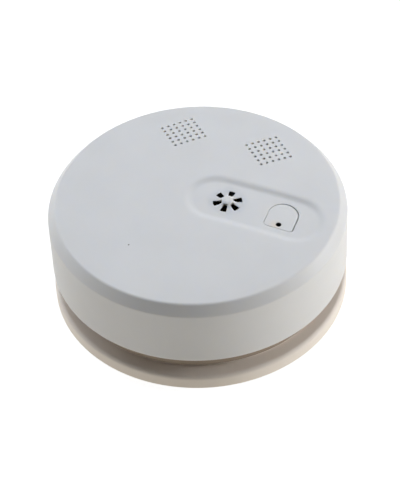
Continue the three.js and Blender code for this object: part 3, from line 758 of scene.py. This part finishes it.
def make_button():
    """Test button: D-shaped cap with the LED hole, the flange under the cover, and the stem."""
    shell = Shell()
    outline = button_outline(-CAP_EDGE) + BUTTON_SHIFT
    side = button_outline(0) + BUTTON_SHIFT
    flange = button_outline(FLANGE_OUT) + BUTTON_SHIFT
    hole = circle(LED_HOLE_R + LED_HOLE_EDGE, 28, LED_X, LED_Y)[::-1]
    grid = np.array([(x, y) for x in np.arange(30.5, 42, 1.0) for y in np.arange(-6.5, 7.1, 1.0)])
    grid = grid[inside(grid, button_outline(-0.9))]
    hole_ring = circle(LED_HOLE_R + 0.35, 16, LED_X, LED_Y)
    upper = shell.face([outline, hole], clear_of(np.vstack([grid, hole_ring]), [hole], 0.2), button_top)
    flat_under = level(FLANGE_BOTTOM)
    lower = shell.face([flange, hole], clear_of(grid, [hole], 0.4), flat_under, up=False)
    shell.side(hole, upper[1], lower[1], button_top, flat_under, LED_HOLE_EDGE)
    shell.rings([upper[0], *shell.edge(outline, button_top, CAP_EDGE, True), shell.ring(side, FLANGE_TOP),
                 shell.ring(flange, FLANGE_TOP), lower[0]])
    shell.post(rounded_path([(STEM_R, FLANGE_TOP - 0.6), (STEM_R, STEM_Z, 0.3), (STEM_TIP_R, STEM_Z)], 3),
               STEM_X, STEM_Y)
    shell.piece("test_button_cap", BUTTON, "test_button", ["test_button"])


def make_spring():
    """The return spring, a coil between the guide and the button's flange."""
    shell = Shell()
    sides, steps = 10, 160
    coil_r = (SPRING_HIGH[0] - SPRING_LOW[0]) / 2 - SPRING_WIRE_R
    start, end = SPRING_LOW[2] + SPRING_WIRE_R, SPRING_HIGH[2] - SPRING_WIRE_R
    section = circle(SPRING_WIRE_R, sides)
    rings = []
    for k in range(steps + 1):
        angle = 2 * math.pi * SPRING_TURNS * k / steps
        out = np.array([math.cos(angle), math.sin(angle), 0])
        place = np.array([STEM_X, STEM_Y, start + (end - start) * k / steps]) + coil_r * out
        rings.append(shell.add(place + np.outer(section[:, 0], out) + np.outer(section[:, 1], (0, 0, 1))))
    shell.rings(rings)
    shell.faces += [tuple(rings[0][::-1]), tuple(rings[-1])]
    coil = shell.piece("return_spring", STEEL, None, ["button_spring"])
    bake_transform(coil)


# ------------------------------------------------------------------ rear housing

def wall_columns():
    """The neck's upright edges as (angle, 0), or (middle of a window, -1 or 1) at the window's two sides."""
    columns = []
    for k in range(WINDOW_COUNT):
        middle = 360 * (k + 0.5) / WINDOW_COUNT
        columns += [(a, 0) for a in np.linspace(middle - 22.5, middle - 8, 8)]
        columns += [(middle, -1)]
        columns += [(a, 0) for a in np.linspace(middle - 6.4, middle + 6.4, WINDOW_STEPS - 1)]
        columns += [(middle, 1)]
        columns += [(a, 0) for a in np.linspace(middle + 8, middle + 22.5, 8)[:-1]]
    return columns


def wall_loop(r, columns):
    """A circle with its points on the columns; the sides of a window are parallel."""
    reach = math.degrees(math.asin(WINDOW_HALF / r))
    turn = np.radians([angle + side * reach for angle, side in columns])
    return np.c_[r * np.cos(turn), r * np.sin(turn)]


def rectangle(low, high, radius):
    """A rectangle with rounded corners, anticlockwise."""
    x0, y0, x1, y1 = *low, *high
    return rounded_polygon([(x0, y0), (x1, y0), (x1, y1), (x0, y1)], radius, spacing=3.0)


def bayonet_slot(angle):
    """A slot in the floor, as a hole: narrow where the hook is locked, wide where its lip goes in."""
    start = angle - TWIST - SLOT_REACH
    step = start + 2 * SLOT_REACH
    end = angle + SLOT_REACH
    outline = np.vstack([
        arc(HOOK_LIP_R + SLOT_SPARE, start, step, 8), arc(HOOK_POST_R + SLOT_SPARE, step, end, 8),
        arc(HOOK_INNER_R - SLOT_SPARE, end, start, 14),
    ])
    return outline[::-1]


def add_neck_wall(shell, columns, floor_top, floor_under):
    """The neck with its windows, from the rim of the floor's upper face round to that of its lower face."""
    inner_r = NECK_R - NECK_WALL
    profile = rounded_path([
        (FLOOR_R, FLOOR_Z), (NECK_R, FLOOR_Z, 0.5), (NECK_R, WINDOW_LOW), (NECK_R, WINDOW_HIGH),
        (NECK_R, NECK_TOP, 0.4), (inner_r, NECK_TOP, 0.4), (inner_r, WINDOW_HIGH), (inner_r, WINDOW_LOW),
        (inner_r, FLOOR_TOP, 0.8), (FLOOR_R, FLOOR_TOP),
    ], 4)[::-1]
    rings = [floor_top, *[shell.ring(wall_loop(r, columns), z) for r, z in profile[1:-1]], floor_under]
    windows = [(i, i + WINDOW_STEPS) for i, (_, window_side) in enumerate(columns) if window_side < 0]
    gaps = {i for first, last in windows for i in range(first, last)}
    walls = []
    for (_, z), (_, next_z), ring, next_ring in zip(profile, profile[1:], rings, rings[1:]):
        at_windows = {z, next_z} == {WINDOW_LOW, WINDOW_HIGH}
        shell.bridge(ring, next_ring, gaps if at_windows else ())
        if at_windows:
            walls.append((ring, next_ring))
    (inner_low, inner_high), (outer_high, outer_low) = walls
    for first, last in windows:
        shell.faces.append((inner_low[first], inner_high[first], outer_high[first], outer_low[first]))
        shell.faces.append((outer_low[last], outer_high[last], inner_high[last], inner_low[last]))
        for i in range(first, last):
            shell.faces.append((inner_low[i], outer_low[i], outer_low[i + 1], inner_low[i + 1]))
            shell.faces.append((inner_high[i], inner_high[i + 1], outer_high[i + 1], outer_high[i]))


def add_tube(shell, x, y, floor_top, floor_under):
    """A screw tube with its pocket, between its rings in the floor's two faces."""
    path = [(TUBE_R, TUBE_TOP - TIP_CHAMFER), (TUBE_R - TIP_CHAMFER, TUBE_TOP), (SCREW_HOLE_R, TUBE_TOP),
            (SCREW_HOLE_R, POCKET_TOP), (POCKET_R, POCKET_TOP)]
    made = [shell.ring(circle(r, TUBE_SIDES, x, y)[::-1], z) for r, z in path]
    shell.rings([floor_top, *made, floor_under])


def add_board_post(shell, x, y, floor_top):
    """A post for the circuit board with its pilot hole, on its ring in the floor's upper face."""
    path = [(POST_R, POST_TOP - TIP_CHAMFER), (POST_R - TIP_CHAMFER, POST_TOP), (PILOT_R, POST_TOP),
            (PILOT_R, PILOT_END)]
    made = [shell.ring(circle(r, POST_SIDES, x, y)[::-1], z) for r, z in path]
    shell.rings([floor_top, *made])
    shell.cap(made[-1][::-1], PILOT_END, True)


def add_bay(shell, room, floor_top, floor_under):
    """The battery bay's walls and its roof with the opening for the leads. room is its inside's outline."""
    bay_roof = level(BAY_TOP + BAY_WALL)
    window = rectangle(LEAD_LOW, LEAD_HIGH, 0.4)[::-1]
    inset = BAY_WALL - BAY_EDGE
    roof_edge = rectangle(BAY_LOW - inset, BAY_HIGH + inset, 0.8)
    roof = shell.face([roof_edge, window], [], bay_roof)
    ceiling = shell.face([room, window], [], level(BAY_TOP), up=False)
    shell.rings([roof[1], ceiling[1]])
    shell.rings([roof[0], *shell.edge(roof_edge, bay_roof, BAY_EDGE, True), floor_top[::-1]])
    shell.rings([ceiling[0][::-1], floor_under])


def make_neck():
    """Rear housing: floor, neck with its smoke windows, battery bay, screw tubes and the board's posts."""
    shell = Shell()
    columns = wall_columns()
    outline = wall_loop(FLOOR_R, columns)
    bay_outline = rectangle(BAY_LOW - BAY_WALL, BAY_HIGH + BAY_WALL, 1.2)
    bay_room = rectangle(BAY_LOW, BAY_HIGH, 0.6)
    slots = [bayonet_slot(angle) for angle in HOOK_ANGLES]
    tubes = [circle(TUBE_R, TUBE_SIDES, x, y)[::-1] for x, y in screw_centres()]
    pockets = [circle(POCKET_R, TUBE_SIDES, x, y)[::-1] for x, y in screw_centres()]
    posts = [circle(POST_R, POST_SIDES, x, y)[::-1] for x, y in PCB_POSTS]
    upper = shell.face([outline, *slots, *tubes, *posts, bay_outline[::-1]], [], level(FLOOR_TOP))
    lower = shell.face([outline, *slots, *pockets, bay_room[::-1]], [], level(FLOOR_Z), up=False)
    count = len(slots)
    add_neck_wall(shell, columns, upper[0], lower[0])
    for slot_top, slot_under in zip(upper[1:1 + count], lower[1:1 + count]):
        shell.rings([slot_top, slot_under])
    for (x, y), tube_top, tube_under in zip(screw_centres(), upper[1 + count:], lower[1 + count:]):
        add_tube(shell, x, y, tube_top, tube_under)
    for (x, y), post_ring in zip(PCB_POSTS, upper[1 + count + len(tubes):]):
        add_board_post(shell, x, y, post_ring)
    add_bay(shell, bay_room, upper[-1], lower[-1])
    shell.piece("neck_ring", NECK, "alarm_head", ["rear_housing"])


# ------------------------------------------------------------------ mounting plate

def sector(r0, r1, start, end, inset):
    """Outline of a sector, anticlockwise, drawn in by an inset on all sides."""
    turn = math.degrees(inset / r0)
    start, end = start + turn, end - turn
    return np.vstack([arc(r1 - inset, start, end, 8), arc(r0 + inset, end, start, 8)])


def add_hook(shell, angle):
    """A bayonet hook: an upright post and the lip on it."""
    start, end = angle - HOOK_HALF_ANGLE, angle + HOOK_HALF_ANGLE
    post = sector(HOOK_INNER_R + 0.05, HOOK_POST_R, start + 0.06, end - 0.06, PLATE_EDGE)
    shell.slab(post, PLATE_TOP - 1, HOOK_TOP - 0.5, PLATE_EDGE)
    shell.slab(sector(HOOK_INNER_R, HOOK_LIP_R, start, end, PLATE_EDGE), HOOK_LIP_Z, HOOK_TOP, PLATE_EDGE)


def make_plate():
    """Mounting plate: disc with rim and collar, seat ring, ribs, screw slots and the three hooks."""
    shell = Shell()
    top, under = level(PLATE_TOP), level(PLATE_UNDER)
    outline = circle(WEB_OUTER_R, SIDES)
    middle = circle(WEB_INNER_R, SIDES)[::-1]
    inner, outer = SCREW_SLOT_R - SCREW_SLOT_HALF, SCREW_SLOT_R + SCREW_SLOT_HALF
    reach = SCREW_SLOT_HALF_ANGLE
    slots = [sector(inner, outer, angle - reach, angle + reach, -PLATE_EDGE)[::-1] for angle in (0, 180)]
    upper = shell.face([outline, middle, *slots], [], top)
    lower = shell.face([outline, middle, *slots], [], under, up=False)
    for loop, above, below in zip(slots, upper[2:], lower[2:]):
        shell.side(loop, above, below, top, under, PLATE_EDGE)
    rim = rounded_path([
        (WEB_OUTER_R, PLATE_TOP), (SEAT_INNER_R, PLATE_TOP, 0.3), (SEAT_INNER_R, SEAT_TOP, 0.4),
        (SEAT_OUTER_R, SEAT_TOP, 0.4), (SEAT_OUTER_R, PLATE_TOP, 0.5), (PLATE_R, PLATE_TOP, 1.7),
        (PLATE_R, 0, 0.35), (PLATE_R - PLATE_RIM, 0, 0.3), (PLATE_R - PLATE_RIM, PLATE_UNDER, 0.6),
        (WEB_OUTER_R, PLATE_UNDER),
    ], 5)
    shell.rings([upper[0], *[shell.ring(circle(r, SIDES), z) for r, z in rim[1:-1]], lower[0]])
    collar_r = PLATE_HOLE_R + PLATE_RIM
    collar = rounded_path([
        (WEB_INNER_R, PLATE_TOP), (PLATE_HOLE_R, PLATE_TOP, 0.3), (PLATE_HOLE_R, 0, 0.3),
        (collar_r, 0, 0.3), (collar_r, PLATE_UNDER, 0.5), (WEB_INNER_R, PLATE_UNDER),
    ], 4)
    shell.rings([upper[1], *[shell.ring(circle(r, SIDES)[::-1], z) for r, z in collar[1:-1]], lower[1]])
    rib = rectangle((PLATE_HOLE_R + 1, -RIB_HALF + PLATE_EDGE), (PLATE_R - 1, RIB_HALF - PLATE_EDGE), 0.1)
    for angle in RIB_ANGLES:
        shell.slab(rotated(rib, angle), RIB_Z, PLATE_UNDER + 1, PLATE_EDGE)
    for angle in HOOK_ANGLES:
        add_hook(shell, angle)
    shell.piece("mounting_plate_ring", WARM, "mounting_base", ["mounting_plate"])


make_cover()
make_button()
make_spring()
make_neck()
make_plate()


# ------------------------------------------------------------------ carried-over CAD nodes

def dress_nodes():
    """Gives every shown CAD node the procedural material of its slot."""
    slot_of = {s["node"]: s["material_slot"] for s in frame["record"]["subparts"]}
    for name, node in frame["nodes"].items():
        if not node.hide_render:
            node.data.materials.clear()
            node.data.materials.append(SLOT_MATERIALS[slot_of[name]])


dress_nodes()


# ------------------------------------------------------------------ camera, floor and light

CAMERA_AZIMUTH = 22.353
CAMERA_ELEVATION = 45.447
CAMERA_ROLL = -2.908
CAMERA_DISTANCE = 663.2          # millimetres from the crown, along the view
CAMERA_RIGHT = 1.30
CAMERA_UP = -22.98
LENS = 120.26

FLOOR_HALF = 6.0                 # metres
FLOOR_GREY = (0.3, 0.3, 0.3, 1)
FLOOR_SEEN = 0.92
FLOOR_GLOW = 0.62
FLOOR_GLOW_COLOUR = (1.0, 0.95, 0.85)
WORLD_SEEN = 1.0
WORLD_GLOW = 0.02
PURE_WHITE = (1.0, 1.0, 1.0)
COOL = (0.96, 1.0, 1.06)

# Name, azimuth, elevation and angle across in degrees, strength and colour
LIGHTS = [
    ("back_high", 202, 60, 30, 0.56, COOL),
    ("back_left_high", 232, 56, 30, 0.79, COOL),
    ("back_right_high", 157, 50, 50, 0.47, COOL),
    ("back_left", 250, 20, 30, 0.9, COOL),
    ("right", 112, 30, 40, 0.6, PURE_WHITE),
    ("right_low", 112, 10, 25, 1.45, PURE_WHITE),
    ("left_low", 292, 10, 25, 0.35, PURE_WHITE),
]


def make_camera():
    """The camera at the photo's angle."""
    azimuth, elevation, roll = (math.radians(a) for a in (CAMERA_AZIMUTH, CAMERA_ELEVATION, CAMERA_ROLL))
    back = Vector((math.sin(azimuth) * math.cos(elevation), -math.cos(azimuth) * math.cos(elevation),
                   math.sin(elevation)))
    sideways = Vector((math.cos(azimuth), math.sin(azimuth), 0))
    steep = back.cross(sideways)
    right = sideways * math.cos(roll) + steep * math.sin(roll)
    up = steep * math.cos(roll) - sideways * math.sin(roll)
    place = Vector((0, 0, CROWN_Z)) + back * CAMERA_DISTANCE + right * CAMERA_RIGHT + up * CAMERA_UP
    data = bpy.data.cameras.new("camera")
    data.lens = LENS
    data.sensor_width = 36
    data.clip_start = 0.01
    camera = bpy.data.objects.new("camera", data)
    turn = Matrix((right, up, back)).transposed()
    camera.matrix_world = Matrix.Translation(place * MM) @ turn.to_4x4()
    bpy.context.scene.collection.objects.link(camera)
    bpy.context.scene.camera = camera


def make_floor():
    """A pale floor. It looks white, and throws a little warm light up on the object."""
    mesh = bpy.data.meshes.new("floor")
    corners = [(x * FLOOR_HALF, y * FLOOR_HALF, 0) for x, y in ((-1, -1), (1, -1), (1, 1), (-1, 1))]
    mesh.from_pydata(corners, [], [(0, 1, 2, 3)])
    floor = bpy.data.objects.new("floor", mesh)
    bpy.context.scene.collection.objects.link(floor)
    material, nodes, links, shader, _ = new_material("floor")
    shader.inputs["Base Color"].default_value = FLOOR_GREY
    shader.inputs["Roughness"].default_value = 0.9
    shader.inputs["Specular IOR Level"].default_value = 0.1
    colour = two_colours(nodes, links, camera_ray(nodes), FLOOR_GLOW_COLOUR, PURE_WHITE)
    links.new(colour, shader.inputs["Emission Color"])
    links.new(seen_or_thrown(nodes, links, FLOOR_SEEN, FLOOR_GLOW), shader.inputs["Emission Strength"])
    mesh.materials.append(material)


def camera_ray(nodes):
    """1 where the camera looks at a surface directly, and 0 for all other light."""
    return nodes.new("ShaderNodeLightPath").outputs["Is Camera Ray"]


def seen_or_thrown(nodes, links, seen, thrown):
    """A glow that looks as bright as seen, and lights the object only as much as thrown."""
    made = nodes.new("ShaderNodeMapRange")
    made.inputs["To Min"].default_value = thrown
    made.inputs["To Max"].default_value = seen
    links.new(camera_ray(nodes), made.inputs["Value"])
    return made.outputs["Result"]


def soft_light(name, azimuth, elevation, angle_across, strength, colour):
    """A distant soft light. Azimuth 0 is on the -Y side and 90 on the +X side."""
    a, e = math.radians(azimuth), math.radians(elevation)
    out = Vector((math.sin(a) * math.cos(e), -math.cos(a) * math.cos(e), math.sin(e)))
    data = bpy.data.lights.new(name, "SUN")
    data.energy = strength
    data.angle = math.radians(angle_across)
    data.color = colour
    light = bpy.data.objects.new(name, data)
    light.rotation_mode = "QUATERNION"
    light.rotation_quaternion = out.to_track_quat("Z", "Y")
    bpy.context.scene.collection.objects.link(light)


def make_world():
    """A white surround that throws hardly any light."""
    world = bpy.data.worlds.new("world")
    bpy.context.scene.world = world
    world.use_nodes = True
    background = world.node_tree.nodes["Background"]
    background.inputs["Color"].default_value = (*PURE_WHITE, 1)
    nodes, links = world.node_tree.nodes, world.node_tree.links
    links.new(seen_or_thrown(nodes, links, WORLD_SEEN, WORLD_GLOW), background.inputs["Strength"])


make_camera()
make_floor()
make_world()
for light in LIGHTS:
    soft_light(*light)
bpy.context.scene.view_settings.view_transform = "Standard"
